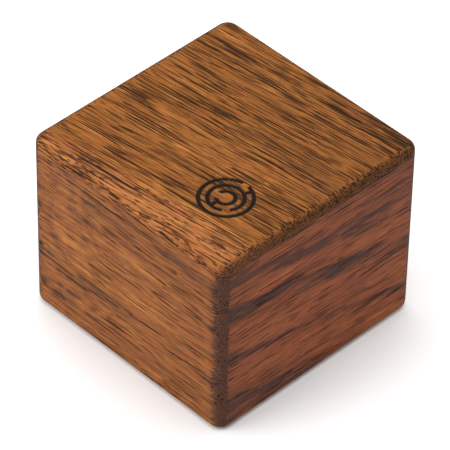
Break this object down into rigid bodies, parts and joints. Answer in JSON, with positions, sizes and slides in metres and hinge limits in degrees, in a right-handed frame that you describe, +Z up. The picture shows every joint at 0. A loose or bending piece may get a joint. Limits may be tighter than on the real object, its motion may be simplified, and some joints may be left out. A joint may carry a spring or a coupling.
{
  "type": "wooden puzzle box",
  "caption": "Near-cubic hardwood puzzle box with a rounded lift-off lid, lapped corners and hidden sliding lock pins that free the lid when the box is spun.",
  "frame": {"origin": "middle of the underside, on the surface the box stands on", "axes": "+Z up to the lid, -Y the front wall, +X the right wall"},
  "size_m": [0.075, 0.075, 0.0604],
  "materials": {
    "wall_wood": "satin oiled reddish-brown hardwood",
    "lid_wood": "satin oiled golden-brown hardwood",
    "inner_wood": "plain sanded hardwood",
    "bush_brass": "turned",
    "pin_steel": "ground"
  },
  "bodies": {
    "case": {"base_panel": "inner_wood", "front_wall": "wall_wood", "back_wall": "wall_wood", "left_wall": "wall_wood", "right_wall": "wall_wood", "corner_post_front_left": "inner_wood", "corner_post_front_right": "inner_wood", "corner_post_back_left": "inner_wood", "corner_post_back_right": "inner_wood", "lock_rail_front": "inner_wood", "lock_rail_back": "inner_wood", "lock_rail_left": "inner_wood", "lock_rail_right": "inner_wood", "guide_bush_front": "bush_brass", "guide_bush_back": "bush_brass", "guide_bush_left": "bush_brass", "guide_bush_right": "bush_brass"},
    "pin_front": {"lock_pin_front": "pin_steel"},
    "pin_back": {"lock_pin_back": "pin_steel"},
    "pin_left": {"lock_pin_left": "pin_steel"},
    "pin_right": {"lock_pin_right": "pin_steel"},
    "lid": {"lid_board": "lid_wood", "lid_spacer": "inner_wood", "keeper_plate": "inner_wood", "keeper_screws": "pin_steel"}
  },
  "joints": [
    {"name": "lid_lift", "type": "slide", "parent": "case", "child": "lid", "axis": [0, 0, 1], "range_m": [0, 0.045]},
    {"name": "pin_slide_front", "type": "slide", "parent": "case", "child": "pin_front", "axis": [0, 1, 0], "range_m": [0, 0.005]},
    {"name": "pin_slide_back", "type": "slide", "parent": "case", "child": "pin_back", "axis": [0, -1, 0], "range_m": [0, 0.005]},
    {"name": "pin_slide_left", "type": "slide", "parent": "case", "child": "pin_left", "axis": [1, 0, 0], "range_m": [0, 0.005]},
    {"name": "pin_slide_right", "type": "slide", "parent": "case", "child": "pin_right", "axis": [-1, 0, 0], "range_m": [0, 0.005]}
  ]
}
